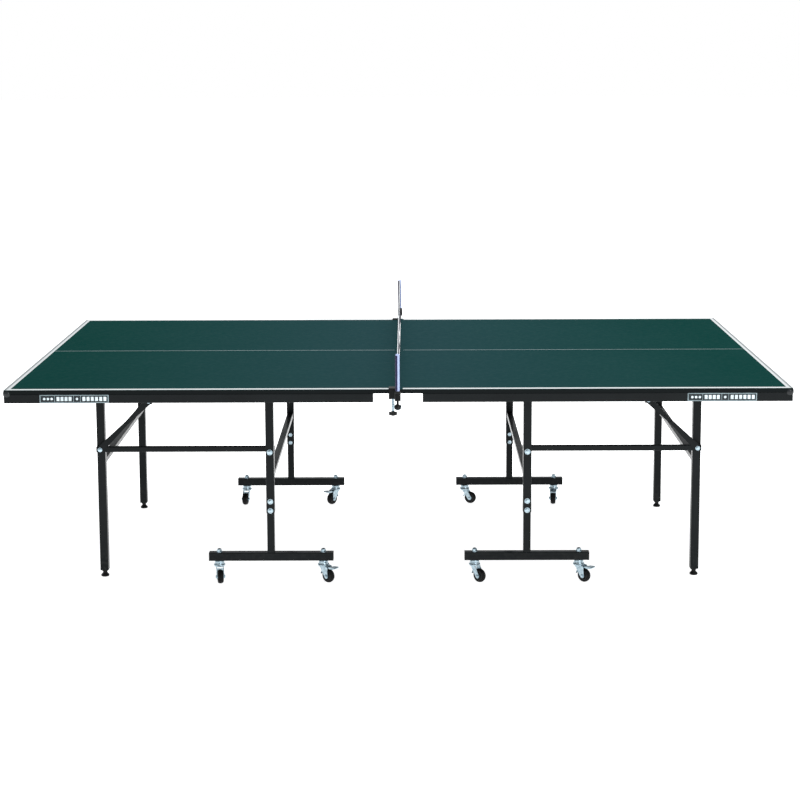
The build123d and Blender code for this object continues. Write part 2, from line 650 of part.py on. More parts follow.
def net_posts():
    """The posts that hold the net's ends, standing in the clamp sockets."""
    bottom = SOCKET_BOTTOM + 3.0
    with BuildPart() as pair:
        for side_y in SIDES.values():
            middle = (0, side_y * POST_SPREAD, (bottom + NET_TOP) / 2)
            add_rod(middle, "Z", NET_TOP - bottom, NET_POST_RADIUS)
    return pair.part


def net():
    """The net and its top tape as one thin sheet between the posts."""
    half_span = POST_SPREAD - SOCKET_RADIUS - 0.3
    with BuildPart() as sheet:
        add_block(
            (-NET_THICKNESS / 2, -half_span, NET_BOTTOM),
            (NET_THICKNESS / 2, half_span, NET_TOP - 1.0),
        )
    return sheet.part


def clamp_screw(side_y):
    """The clamp spindle with its pressure pad under the board."""
    x = -CLAMP_OUT
    y = side_y * SCREW_SPREAD
    pad_top = BOARD_BOTTOM - 0.3
    pad_bottom = pad_top - 4.0
    spindle_bottom = CLAMP_KNOB_TOP + 0.3
    with BuildPart() as screw:
        add_rod((x, y, (pad_top + pad_bottom) / 2), "Z", pad_top - pad_bottom, CLAMP_PAD_RADIUS)
        middle = (x, y, (pad_top + spindle_bottom) / 2)
        add_rod(middle, "Z", pad_top - spindle_bottom, SPINDLE_RADIUS)
    return screw.part


def clamp_knob(side_y):
    """The wing knob that turns the clamp spindle."""
    x = -CLAMP_OUT
    y = side_y * SCREW_SPREAD
    bottom = CLAMP_KNOB_TOP - CLAMP_KNOB_HEIGHT
    with BuildPart() as knob:
        middle = (x, y, (CLAMP_KNOB_TOP + bottom) / 2)
        add_rod(middle, "Z", CLAMP_KNOB_HEIGHT, 7.5)
        with BuildSketch(Plane.XY.offset(bottom + 3.0)) as wings:
            with Locations((x - 9.4, y), (x + 9.4, y)):
                Circle(5.0)
            make_hull()
        extrude(wings.sketch, amount=CLAMP_KNOB_HEIGHT - 6.0)
    return knob.part


# ---------------------------------------------------------------- write every sub-part
for half, side in HALVES.items():
    save(board(side), f"board_{half}")
    save(rails(side), f"rails_{half}")
    save(brackets(side), f"brackets_{half}")
    save(pivot_bolts(side), f"pivot_bolts_{half}")
    save(trim(side), f"trim_{half}")
    save(legs(side), f"legs_{half}")
    save(leg_bolts(side), f"leg_bolts_{half}")
    save(link_bars(side), f"link_bars_{half}")
    save(brace_lower(side), f"brace_lower_{half}")
    save(brace_upper(side), f"brace_upper_{half}")
    save(posts(side), f"posts_{half}")
    save(foot_bars(side), f"foot_bars_{half}")
    save(foot_plugs(side), f"foot_plugs_{half}")
    save(base_bolts(side), f"base_bolts_{half}")
    for side_name, side_y in SIDES.items():
        save(leveller(side, side_y), f"leveller_{half}_{side_name}")
        for end in ("outer", "inner"):
            braked = side * (1 if end == "outer" else -1) > 0
            place = f"{half}_{side_name}_{end}"
            save(castor_fork(half, end, side_name, braked), f"castor_fork_{place}")
            save(castor_wheel(half, end, side_name), f"castor_wheel_{place}")
            if braked:
                save(brake_pedal(half, end, side_name), f"brake_pedal_{place}")

save(net(), "net")
save(net_posts(), "net_posts")
save(net_supports(), "net_clamps")
for side_name, side_y in SIDES.items():
    save(clamp_screw(side_y), f"clamp_screw_{side_name}")
    save(clamp_knob(side_y), f"clamp_knob_{side_name}")
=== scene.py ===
"""Looks for the folding ping pong table: paint, plastics, netting, castors, light and camera.

Metres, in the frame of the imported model: X along the table, Y across it, Z up.
"""
import json
import math
import random

import bmesh
import bpy
from mathutils import Matrix, Vector


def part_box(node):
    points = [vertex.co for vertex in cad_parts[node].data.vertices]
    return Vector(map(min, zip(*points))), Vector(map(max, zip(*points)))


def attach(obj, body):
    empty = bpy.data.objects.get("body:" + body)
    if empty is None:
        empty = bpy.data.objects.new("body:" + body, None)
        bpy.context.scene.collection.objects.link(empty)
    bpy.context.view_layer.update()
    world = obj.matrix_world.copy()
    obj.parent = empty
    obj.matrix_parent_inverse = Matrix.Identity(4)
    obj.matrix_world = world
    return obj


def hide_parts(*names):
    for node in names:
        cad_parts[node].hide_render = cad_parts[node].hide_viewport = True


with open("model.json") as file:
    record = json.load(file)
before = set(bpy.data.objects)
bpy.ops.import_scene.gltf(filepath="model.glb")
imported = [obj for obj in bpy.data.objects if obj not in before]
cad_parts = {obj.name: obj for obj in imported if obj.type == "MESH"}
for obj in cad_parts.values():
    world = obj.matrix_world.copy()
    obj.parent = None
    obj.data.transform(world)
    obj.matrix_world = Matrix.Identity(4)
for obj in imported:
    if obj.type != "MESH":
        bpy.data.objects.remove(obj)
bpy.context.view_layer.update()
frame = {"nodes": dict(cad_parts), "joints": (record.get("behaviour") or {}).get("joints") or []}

MM = 0.001
HALVES = {"left": -1, "right": 1}
SIDES = {"front": -1, "back": 1}
random.seed(7)


# ------------------------------------------------------------------ materials
class Shader:
    """A principled material with short calls for the nodes that all of them use."""

    def __init__(self, name, colour, roughness, metallic=0.0, specular=0.5):
        self.material = bpy.data.materials.new(name)
        self.material.use_nodes = True
        self.tree = self.material.node_tree
        self.bsdf = self.tree.nodes["Principled BSDF"]
        self.bsdf.inputs["Base Color"].default_value = (*colour, 1.0)
        self.bsdf.inputs["Roughness"].default_value = roughness
        self.bsdf.inputs["Metallic"].default_value = metallic
        self.bsdf.inputs["Specular IOR Level"].default_value = specular
        self.place = self.tree.nodes.new("ShaderNodeTexCoord").outputs["Object"]
        self.last_bump = None

    def node(self, kind, **settings):
        made = self.tree.nodes.new("ShaderNode" + kind)
        for key, value in settings.items():
            setattr(made, key, value)
        return made

    def link(self, source, target):
        self.tree.links.new(source, target)

    def noise(self, scale, detail=3.0, rough=0.5, stretch=(1, 1, 1)):
        mapping = self.node("Mapping")
        mapping.inputs["Scale"].default_value = stretch
        self.link(self.place, mapping.inputs["Vector"])
        noise = self.node("TexNoise")
        noise.inputs["Scale"].default_value = scale
        noise.inputs["Detail"].default_value = detail
        noise.inputs["Roughness"].default_value = rough
        self.link(mapping.outputs["Vector"], noise.inputs["Vector"])
        return noise.outputs["Fac"]

    def ramp(self, source, low, high, low_out=0.0, high_out=1.0):
        spread = self.node("MapRange")
        spread.inputs["From Min"].default_value = low
        spread.inputs["From Max"].default_value = high
        spread.inputs["To Min"].default_value = low_out
        spread.inputs["To Max"].default_value = high_out
        self.link(source, spread.inputs["Value"])
        return spread.outputs["Result"]

    def maths(self, operation, first, second):
        made = self.node("Math", operation=operation)
        for socket, value in zip(made.inputs, (first, second)):
            if isinstance(value, (int, float)):
                socket.default_value = value
            else:
                self.link(value, socket)
        return made.outputs["Value"]

    def axis(self, name):
        """The place along one axis, in metres."""
        split = self.node("SeparateXYZ")
        self.link(self.place, split.inputs["Vector"])
        return split.outputs[name]

    def mix(self, factor, first, second):
        made = self.node("Mix", data_type="RGBA")
        colour_inputs = [s for s in made.inputs if s.type == "RGBA"]
        for socket, value in zip(colour_inputs, (first, second)):
            if isinstance(value, tuple):
                socket.default_value = (*value, 1.0)
            else:
                self.link(value, socket)
        self.link(factor, made.inputs[0])
        return [s for s in made.outputs if s.type == "RGBA"][0]

    def colour(self, source):
        self.link(source, self.bsdf.inputs["Base Color"])

    def roughness(self, source):
        self.link(source, self.bsdf.inputs["Roughness"])

    def bump(self, height, strength, distance):
        made = self.node("Bump")
        made.inputs["Strength"].default_value = strength
        made.inputs["Distance"].default_value = distance
        self.link(height, made.inputs["Height"])
        if self.last_bump is not None:
            self.link(self.last_bump, made.inputs["Normal"])
        self.last_bump = made.outputs["Normal"]
        self.link(self.last_bump, self.bsdf.inputs["Normal"])


def scaled(colour, factor):
    return tuple(min(1.0, channel * factor) for channel in colour)


def coated_board():
    """Green roller-coated top with a painted reflection that makes it paler and bluer near the net, and a
    black edge and underside.
    """
    outer_green = (0.0014, 0.0340, 0.0290)
    net_reflection_green = (0.0115, 0.0400, 0.0450)
    dusty = (0.018, 0.060, 0.058)
    s = Shader("board_lacquer", outer_green, 0.6, specular=0.004)
    # painted reflection: the green is mixed paler and bluer towards the net
    from_net = s.maths("ABSOLUTE", s.axis("X"), 0.0)
    reflection_tinted = s.mix(s.ramp(from_net, 1.25, 0.15), outer_green, net_reflection_green)
    patchy = s.mix(s.ramp(s.noise(2.2, 4.0), 0.3, 0.75, 0.0, 0.12), reflection_tinted, dusty)
    flecked = s.mix(s.ramp(s.noise(340.0, 2.0), 0.35, 0.75, 0.0, 0.12), patchy, dusty)
    scuffs = s.ramp(s.noise(26.0, 5.0, 0.62, (0.35, 1.6, 1)), 0.68, 0.82, 0.0, 0.18)
    worn = s.mix(scuffs, flecked, dusty)
    is_top = s.ramp(s.axis("Z"), 0.7585, 0.7593)
    edge = (0.0095, 0.0115, 0.0120)
    s.colour(s.mix(is_top, edge, worn))
    s.roughness(s.ramp(s.noise(60.0, 4.0), 0.3, 0.7, 0.52, 0.66))
    s.bump(s.noise(1400.0, 2.0), 0.12, 0.0002)
    return s.material


def line_paint():
    """White court paint with faint ball marks, and painted shade that makes it greyer near the board's
    outer ends.
    """
    white = (0.58, 0.60, 0.605)
    # grey is painted shade for the outer part of each end line
    grey = (0.27, 0.285, 0.29)
    s = Shader("line_paint", white, 0.5, specular=0.05)
    out = s.maths("ABSOLUTE", s.axis("X"), 0.0)
    # painted shade: beyond 1.36 m from the net the white turns grey
    edge_shaded = s.mix(s.ramp(out, 1.3585, 1.3600), white, grey)
    marks = s.ramp(s.noise(90.0, 5.0, 0.6), 0.6, 0.78, 0.0, 0.3)
    s.colour(s.mix(marks, edge_shaded, (0.36, 0.39, 0.38)))
    s.roughness(s.ramp(s.noise(200.0), 0.3, 0.7, 0.42, 0.6))
    s.bump(s.noise(1400.0, 2.0), 0.15, 0.0002)
    return s.material


def centre_line_paint():
    """The thin centre line, printed more weakly than the broad ones."""
    pale = (0.40, 0.48, 0.49)
    s = Shader("centre_line_paint", pale, 0.5, specular=0.05)
    s.colour(s.mix(s.ramp(s.noise(140.0, 4.0), 0.4, 0.7), pale, scaled(pale, 0.8)))
    s.roughness(s.ramp(s.noise(200.0), 0.3, 0.7, 0.45, 0.6))
    return s.material


def powder_coat(name, colour, roughness=0.42, specular=0.04, dust_height=0.14):
    """Semi-gloss powder coat: orange peel, a few rubbed marks, and dust near the floor."""
    s = Shader(name, colour, roughness, specular=specular)
    broad = s.ramp(s.noise(7.0, 3.0), 0.35, 0.65)
    tinted = s.mix(broad, scaled(colour, 0.88), scaled(colour, 1.16))
    rubbed = s.ramp(s.noise(42.0, 6.0, 0.65, (0.5, 0.5, 1.4)), 0.67, 0.78, 0.0, 0.4)
    marked = s.mix(rubbed, tinted, scaled(colour, 2.1))
    dust_zone = s.ramp(s.axis("Z"), dust_height, 0.0, 0.0, 0.4)
    dust = s.maths("MULTIPLY", dust_zone, s.ramp(s.noise(85.0, 4.0), 0.45, 0.75))
    s.colour(s.mix(dust, marked, (0.06, 0.06, 0.057)))
    s.bsdf.inputs["Coat Weight"].default_value = 0.5
    s.bsdf.inputs["Coat IOR"].default_value = 1.22
    s.bsdf.inputs["Coat Roughness"].default_value = 0.16
    s.roughness(s.ramp(s.noise(30.0, 4.0), 0.3, 0.7, roughness - 0.07, roughness + 0.1))
    s.bump(s.noise(520.0, 2.0, 0.45), 0.16, 0.0004)
    return s.material


def zinc_plate():
    """Bright zinc: a little mottled, with fine turning marks."""
    bright = (0.58, 0.71, 0.77)
    s = Shader("zinc_plate", bright, 0.28, metallic=1.0)
    mottle = s.ramp(s.noise(120.0, 5.0, 0.6), 0.3, 0.7)
    s.colour(s.mix(mottle, (0.27, 0.36, 0.42), bright))
    s.roughness(s.ramp(s.noise(260.0, 3.0), 0.3, 0.7, 0.2, 0.4))
    s.bump(s.noise(900.0, 3.0), 0.12, 0.0002)
    return s.material


def moulded_plastic(name, colour, roughness=0.45, specular=0.2):
    """Moulded plastic with spark-eroded grain and handling shine."""
    s = Shader(name, colour, roughness, specular=specular)
    s.colour(s.mix(s.ramp(s.noise(24.0, 4.0), 0.35, 0.7), colour, scaled(colour, 1.45)))
    s.roughness(s.ramp(s.noise(75.0, 4.0), 0.3, 0.7, roughness - 0.12, roughness + 0.1))
    s.bump(s.noise(1700.0, 2.0), 0.3, 0.0002)
    return s.material


def tyre_rubber():
    """Castor rubber with a dusty bloom."""
    colour = (0.0028, 0.0029, 0.0032)
    s = Shader("tyre_rubber", colour, 0.5, specular=0.12)
    bloom = s.ramp(s.noise(110.0, 5.0, 0.6), 0.46, 0.78, 0.0, 0.3)
    s.colour(s.mix(bloom, colour, (0.03, 0.0295, 0.0285)))
    s.roughness(s.ramp(s.noise(170.0, 3.0), 0.3, 0.7, 0.4, 0.62))
    s.bump(s.noise(1300.0, 3.0), 0.4, 0.0002)
    return s.material


def twisted_thread():
    """Dark blue braided netting thread."""
    colour = (0.010, 0.014, 0.032)
    s = Shader("netting_thread", colour, 0.85, specular=0.2)
    s.bsdf.inputs["Sheen Weight"].default_value = 0.3
    s.colour(s.mix(s.ramp(s.noise(500.0, 3.0), 0.35, 0.65), colour, scaled(colour, 2.2)))
    s.roughness(s.ramp(s.noise(90.0), 0.3, 0.7, 0.78, 0.92))
    s.bump(s.noise(2400.0, 2.0, 0.5, (1, 1, 0.4)), 0.5, 0.0002)
    return s.material


def woven_tape(name, colour):
    """Cotton tape with a visible plain weave."""
    s = Shader(name, colour, 0.85, specular=0.2)
    s.bsdf.inputs["Sheen Weight"].default_value = 0.25
    weave_step = 0.0011
    rows = s.maths("SINE", s.maths("MULTIPLY", s.axis("Y"), 2 * math.pi / weave_step), 0.0)
    columns = s.maths("SINE", s.maths("MULTIPLY", s.axis("Z"), 2 * math.pi / weave_step), 0.0)
    weave = s.maths("MULTIPLY", rows, columns)
    grime = s.ramp(s.noise(30.0, 5.0, 0.6), 0.45, 0.8, 0.0, 0.5)
    shaded = s.mix(s.ramp(weave, -1.0, 1.0, 0.0, 0.35), colour, scaled(colour, 0.8))
    s.colour(s.mix(grime, shaded, scaled(colour, 0.82)))
    s.roughness(s.ramp(s.noise(120.0), 0.3, 0.7, 0.8, 0.94))
    s.bump(weave, 0.5, 0.0003)
    return s.material


def enamel(name, colour):
    """Gloss enamel on the net posts, lightly rubbed."""
    s = Shader(name, colour, 0.25, specular=0.5)
    rubbed = s.ramp(s.noise(60.0, 6.0, 0.65, (1, 1, 0.4)), 0.62, 0.78, 0.0, 0.5)
    s.colour(s.mix(rubbed, colour, scaled(colour, 1.7)))
    s.roughness(s.ramp(s.noise(90.0, 3.0), 0.3, 0.7, 0.2, 0.36))
    s.bump(s.noise(420.0, 2.0), 0.1, 0.0002)
    return s.material


CHARCOAL = (0.0062, 0.0080, 0.0088)
BLACK = (0.0040, 0.0042, 0.0045)
BOARD = coated_board()
LINE = line_paint()
CENTRE_LINE = centre_line_paint()
FRAME_PAINT = powder_coat("frame_powder_coat", CHARCOAL)
ZINC = zinc_plate()
BLACK_PLASTIC = moulded_plastic("black_plastic", BLACK)
HUB_PLASTIC = moulded_plastic("hub_plastic", (0.020, 0.021, 0.022), 0.45)
CORNER_PLASTIC = moulded_plastic("corner_plastic", (0.0095, 0.0115, 0.0130), 0.24, 0.3)
PANEL_PLASTIC = moulded_plastic("badge_panel", (0.014, 0.020, 0.023), 0.34)
SILVER_PLASTIC = moulded_plastic("badge_frame", (0.20, 0.26, 0.28), 0.3, 0.4)
PALE_DOTS = moulded_plastic("badge_blocks", (0.56, 0.64, 0.67), 0.35, 0.4)
RUBBER = tyre_rubber()
THREAD = twisted_thread()
WHITE_TAPE = woven_tape("white_tape", (0.84, 0.86, 0.88))
NAVY_TAPE = woven_tape("navy_tape", (0.016, 0.014, 0.060))
POST_ENAMEL = enamel("post_enamel", (0.40, 0.48, 0.74))
CLAMP_ENAMEL = powder_coat("clamp_enamel", (0.0040, 0.0043, 0.0048), 0.36)


# ------------------------------------------------------------------ mesh helpers
def make_piece(name, mesh, material, body, smooth_angle=0.6):
    """Turn a bmesh into a piece that rides on a body."""
    bmesh.ops.recalc_face_normals(mesh, faces=mesh.faces)
    data = bpy.data.meshes.new(name)
    mesh.to_mesh(data)
    mesh.free()
    data.materials.append(material)
    piece = bpy.data.objects.new(name, data)
    bpy.context.scene.collection.objects.link(piece)
    for face in data.polygons:
        face.use_smooth = True
    data.set_sharp_from_angle(angle=smooth_angle)
    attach(piece, body)
    return piece


def placed(origin, axis, turn_from=(0, 0, 1)):
    """A matrix whose local Z runs along axis, with local X square to turn_from and axis."""
    z = Vector(axis).normalized()
    side = Vector(turn_from).cross(z)
    if side.length < 1e-6:
        side = Vector((1, 0, 0)).cross(z)
    x = side.normalized()
    y = z.cross(x)
    turned = Matrix((x, y, z)).transposed().to_4x4()
    return Matrix.Translation(Vector(origin)) @ turned


def add_lathe(mesh, profile, matrix, segments=40):
    """Spin a profile of (radius, height) points round local Z; its ends close on the axis."""
    rings = []
    for radius, height in profile:
        if radius < 1e-9:
            rings.append([mesh.verts.new(matrix @ Vector((0, 0, height)))])
            continue
        ring = []
        for i in range(segments):
            angle = 2 * math.pi * i / segments
            point = Vector((radius * math.cos(angle), radius * math.sin(angle), height))
            ring.append(mesh.verts.new(matrix @ point))
        rings.append(ring)
    for first, second in zip(rings, rings[1:]):
        for i in range(segments):
            j = (i + 1) % segments
            corners = [first[i % len(first)], first[j % len(first)]]
            corners += [second[j % len(second)], second[i % len(second)]]
            unique = list(dict.fromkeys(corners))
            if len(unique) > 2:
                mesh.faces.new(unique)


def rounded(radius, height, depth, bevel, steps=4):
    """A closed lathe profile of a disc from height - depth to height with a rounded top edge."""
    points = [(0, height - depth), (radius, height - depth)]
    for i in range(steps + 1):
        angle = math.pi / 2 * i / steps
        inset = bevel * (1 - math.cos(angle))
        drop = bevel * (1 - math.sin(angle))
        points.append((radius - inset, height - drop))
    points.append((0, height))
    return points


def dome(radius, base, rise, steps=7):
    """A lathe profile of a domed head that starts at base, with a short straight rim."""
    rim = 0.22
    points = [(0, base), (radius, base), (radius, base + rise * rim)]
    for i in range(1, steps + 1):
        angle = math.pi / 2 * i / steps
        points.append((radius * math.cos(angle), base + rise * (rim + (1 - rim) * math.sin(angle))))
    points[-1] = (0, base + rise)
    return points


def add_prism(mesh, outline, low, high, matrix, bevel=0.0, segments=2):
    """A closed prism over an outline of (x, y) points, from low to high along local Z."""
    bottom = [mesh.verts.new(matrix @ Vector((x, y, low))) for x, y in outline]
    top = [mesh.verts.new(matrix @ Vector((x, y, high))) for x, y in outline]
    count = len(outline)
    faces = [mesh.faces.new(bottom[::-1]), mesh.faces.new(top)]
    for i in range(count):
        j = (i + 1) % count
        faces.append(mesh.faces.new((bottom[i], bottom[j], top[j], top[i])))
    if bevel > 0:
        edges = list({edge for face in faces[:2] for edge in face.edges})
        bmesh.ops.bevel(mesh, geom=edges, offset=bevel, segments=segments, profile=0.6, affect="EDGES")


def add_box(mesh, low, high, bevel=0.0, segments=2):
    """A box between two corners, with all its edges rounded."""
    x0, x1 = sorted((low[0], high[0]))
    y0, y1 = sorted((low[1], high[1]))
    z0, z1 = sorted((low[2], high[2]))
    made = bmesh.ops.create_cube(mesh, size=1.0)
    for vert in made["verts"]:
        vert.co = Vector((
            x0 + (vert.co.x + 0.5) * (x1 - x0),
            y0 + (vert.co.y + 0.5) * (y1 - y0),
            z0 + (vert.co.z + 0.5) * (z1 - z0),
        ))
    if bevel > 0:
        edges = list({edge for vert in made["verts"] for edge in vert.link_edges})
        bmesh.ops.bevel(mesh, geom=edges, offset=bevel, segments=segments, profile=0.6, affect="EDGES")


def polygon(radius, sides, turn=0.0):
    """The corners of a regular polygon."""
    angles = [turn + 2 * math.pi * i / sides for i in range(sides)]
    return [(radius * math.cos(angle), radius * math.sin(angle)) for angle in angles]


def ring_sector(inner, outer, start, sweep, steps):
    """The outline of a curved strip between two radii; start and sweep are in degrees."""
    angles = [math.radians(start + sweep * k / steps) for k in range(steps + 1)]
    outline = [(outer * math.cos(angle), outer * math.sin(angle)) for angle in angles]
    return outline + [(inner * math.cos(angle), inner * math.sin(angle)) for angle in angles[::-1]]


def add_tube_path(mesh, points, radius, sides=12):
    """A round bar along a line of points, with closed ends."""
    rings = []
    count = len(points)
    for i, point in enumerate(points):
        before = points[max(0, i - 1)]
        after = points[min(count - 1, i + 1)]
        matrix = placed(point, Vector(after) - Vector(before), (0, 1, 0.01))
        rings.append([mesh.verts.new(matrix @ Vector((x, y, 0))) for x, y in polygon(radius, sides)])
    for first, second in zip(rings, rings[1:]):
        for i in range(sides):
            j = (i + 1) % sides
            mesh.faces.new((first[i], first[j], second[j], second[i]))
    mesh.faces.new(rings[0][::-1])
    mesh.faces.new(rings[-1])


def set_material(node, material):
    """Give a CAD node its only material."""
    data = frame["nodes"][node].data
    data.materials.clear()
    data.materials.append(material)


def joint(name):
    """A joint of the frame by its name."""
    return next(j for j in frame["joints"] if j["name"] == name)


def middle_x(node):
    """The middle of a node's box along the table."""
    low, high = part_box(node)
    return (low[0] + high[0]) / 2


def back_face(node):
    """How far a node reaches across the table, which is the same on both sides."""
    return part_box(node)[1][1]


# ------------------------------------------------------------------ finish of the CAD nodes
PAINTED = ("rails", "brackets", "legs", "link_bars", "brace_lower", "brace_upper", "posts", "foot_bars")
for half in HALVES:
    set_material(f"board_{half}", BOARD)
    for kind in PAINTED:
        set_material(f"{kind}_{half}", FRAME_PAINT)
for node in frame["nodes"]:
    if node.startswith(("castor_fork", "brake_pedal")):
        set_material(node, ZINC)
    elif node.startswith(("leveller", "foot_plugs")):
        set_material(node, BLACK_PLASTIC)
set_material("net_clamps", CLAMP_ENAMEL)


# ------------------------------------------------------------------ court lines
TABLE_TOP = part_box("board_left")[1][2]
PAINT = 0.25 * MM


def court_lines(half, side):
    """End line, two side lines and half of the centre line, as thin coats of paint."""
    low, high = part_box(f"board_{half}")
    near = high[0] if side < 0 else low[0]
    far = low[0] if side < 0 else high[0]
    inset = 1.0 * MM
    broad = 20 * MM
    bracket_gap = 14 * MM
    strips = bmesh.new()
    outer = far - side * inset
    add_box(
        strips,
        (outer, low[1] + inset, TABLE_TOP),
        (outer - side * broad, high[1] - inset, TABLE_TOP + PAINT),
    )
    for side_y in SIDES.values():
        edge = side_y * (high[1] - inset)
        add_box(
            strips,
            (outer - side * broad, edge, TABLE_TOP),
            (near + side * bracket_gap, edge - side_y * broad, TABLE_TOP + PAINT),
        )
    make_piece(f"court_lines_{half}", strips, LINE, f"top_{half}")
    middle = bmesh.new()
    half_line = 1.5 * MM
    add_box(
        middle,
        (outer - side * broad, -half_line, TABLE_TOP),
        (near + side * bracket_gap, half_line, TABLE_TOP + PAINT),
    )
    make_piece(f"centre_line_{half}", middle, CENTRE_LINE, f"top_{half}")


for half, side in HALVES.items():
    court_lines(half, side)


# ------------------------------------------------------------------ bolts
def add_bolt(mesh, x, z, head_y, tail_y, head_radius, shaft_radius=5 * MM, head_rise=5 * MM, nut=True):
    """A bolt along Y: washer and dome at head_y, hexagon nut at tail_y."""
    outward = 1 if head_y > tail_y else -1
    matrix = placed((x, head_y, z), (0, outward, 0))
    length = abs(head_y - tail_y)
    washer = 1.2 * MM
    add_lathe(mesh, rounded(head_radius, washer, washer, 0.4 * MM), matrix, 36)
    add_lathe(mesh, dome(head_radius * 0.8, washer, head_rise - washer), matrix, 36)
    add_lathe(mesh, [(0, 0), (shaft_radius, 0), (shaft_radius, -length), (0, -length)], matrix, 24)
    if nut:
        tail = placed((x, tail_y, z), (0, -outward, 0))
        add_prism(mesh, polygon(8.6 * MM, 6), -0.1 * MM, 4.0 * MM, tail, 0.5 * MM)


TUBE = 30 * MM
LINK_BAR = 18 * MM
POST_X = middle_x("posts_right")
POST_FACE = back_face("posts_right")
POST_INNER = POST_FACE - TUBE
LEG_X = middle_x("legs_right")
LEG_INNER = back_face("legs_right") - TUBE
LINK_FACE = back_face("link_bars_right")
LOWER_BRACE_FACE = back_face("brace_lower_right")
UPPER_BRACE_FACE = back_face("brace_upper_right")
LINK_Z = joint("link_swing_right")["pos_m"][2]
PIVOT_Z = joint("fold_right")["pos_m"][2]
BRACE_TOP = joint("brace_upper_fold_right")["pos_m"]
FOOT_BAR_TOP = 110 * MM
STEM_BOLTS = (268 * MM, 302 * MM)


def add_kingpin(mesh, swivel):
    """A castor's pin through the foot bar, with its flange, washer and cap nut."""
    pin = placed((swivel[0], swivel[1], 0), (0, 0, 1))
    add_lathe(mesh, [
        (0, 55 * MM), (6.4 * MM, 55 * MM), (7 * MM, 56 * MM), (7 * MM, 57.7 * MM), (4 * MM, 57.7 * MM),
        (4 * MM, 72 * MM), (16.4 * MM, 72 * MM), (17 * MM, 73 * MM), (17 * MM, 77 * MM), (15 * MM, 80 * MM),
        (5 * MM, 80 * MM), (5 * MM, FOOT_BAR_TOP), (0, FOOT_BAR_TOP),
    ], pin, 40)
    washer_top = FOOT_BAR_TOP + 2 * MM
    add_lathe(mesh, rounded(11 * MM, washer_top, 2 * MM, 0.6 * MM), pin, 40)
    add_prism(mesh, polygon(9.6 * MM, 6, 0.3), washer_top, washer_top + 6.5 * MM, pin, 0.6 * MM)
    add_lathe(mesh, dome(7.8 * MM, washer_top + 6.4 * MM, 5.6 * MM), pin, 32)


def base_bolts(half, side):
    """Domed bolts through the posts, and the castors' kingpins with cap nuts."""
    mesh = bmesh.new()
    x = side * POST_X
    gap = POST_INNER - LINK_FACE - 0.5 * MM
    for side_name, side_y in SIDES.items():
        face = side_y * POST_FACE
        link_inner = LINK_FACE - LINK_BAR
        add_bolt(mesh, x, LINK_Z, face, side_y * (link_inner - 4.5 * MM), 10.5 * MM, nut=False)
        spacer = placed((x, side_y * (LINK_FACE + 0.4 * MM), LINK_Z), (0, side_y, 0))
        add_lathe(mesh, rounded(9 * MM, gap, gap, 0.6 * MM), spacer, 32)
        inner_head = placed((x, side_y * (link_inner - 0.5 * MM), LINK_Z), (0, -side_y, 0))
        add_lathe(mesh, dome(8.5 * MM, 0, 4.4 * MM), inner_head, 32)
        for z in STEM_BOLTS:
            add_bolt(mesh, x, z, face, side_y * POST_INNER, 10 * MM)
        for end in ("outer", "inner"):
            add_kingpin(mesh, joint(f"swivel_{half}_{side_name}_{end}")["pos_m"])
    piece = make_piece(f"base_fasteners_{half}", mesh, ZINC, f"base_{half}")
    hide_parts(f"base_bolts_{half}")


def leg_bolts(half, side):
    """Domed bolts through legs, link bars and lower braces."""
    mesh = bmesh.new()
    x = side * LEG_X
    for side_y in SIDES.values():
        face = side_y * (LOWER_BRACE_FACE - 5.4 * MM)
        tail_y = side_y * LEG_INNER
        add_bolt(mesh, x, LINK_Z, face, tail_y, 8.4 * MM, head_rise=4 * MM, nut=False)
        tail = placed((x, tail_y, LINK_Z), (0, -side_y, 0))
        add_prism(mesh, polygon(8.6 * MM, 6), 0, 3 * MM, tail, 0.5 * MM)
    piece = make_piece(f"leg_fasteners_{half}", mesh, ZINC, f"legs_{half}")
    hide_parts(f"leg_bolts_{half}")


def pivot_bolts(half, side):
    """Bolts of the post pivots, leg pivots and brace brackets under the top."""
    mesh = bmesh.new()
    ear = 3.5 * MM
    brace_x = abs(BRACE_TOP[0]) * side
    for side_y in SIDES.values():
        for x, inner in ((POST_X, POST_INNER), (LEG_X, LEG_INNER)):
            head = side_y * (inner + TUBE + ear)
            tail = side_y * (inner - ear)
            add_bolt(mesh, side * x, PIVOT_Z, head, tail, 9 * MM, head_rise=3.5 * MM)
        plate = side_y * (UPPER_BRACE_FACE + ear)
        tail_y = side_y * (UPPER_BRACE_FACE - 3.3 * MM)
        add_bolt(mesh, brace_x, BRACE_TOP[2], plate, tail_y, 9 * MM, head_rise=2.5 * MM, nut=False)
        rivet = placed((brace_x, tail_y, BRACE_TOP[2]), (0, -side_y, 0))
        add_lathe(mesh, dome(9 * MM, 0, 3.0 * MM), rivet, 32)
    piece = make_piece(f"pivot_fasteners_{half}", mesh, ZINC, f"top_{half}")
    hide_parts(f"pivot_bolts_{half}")


for half, side in HALVES.items():
    base_bolts(half, side)
    leg_bolts(half, side)
    pivot_bolts(half, side)


# ------------------------------------------------------------------ corner protectors, plugs, badge
def bumper(radius, half_tall, steps=14):
    """A lathe profile of a barrel with small flat ends, centred on height 0."""
    flat = 5 * MM
    fullness = 0.7
    profile = [(0, -half_tall), (flat, -half_tall)]
    for i in range(1, steps):
        angle = math.pi * (i / steps - 0.5)
        bulge = flat + (radius - flat) * math.cos(angle) ** fullness
        profile.append((bulge, half_tall * math.sin(angle)))
    return profile + [(flat, half_tall), (0, half_tall)]


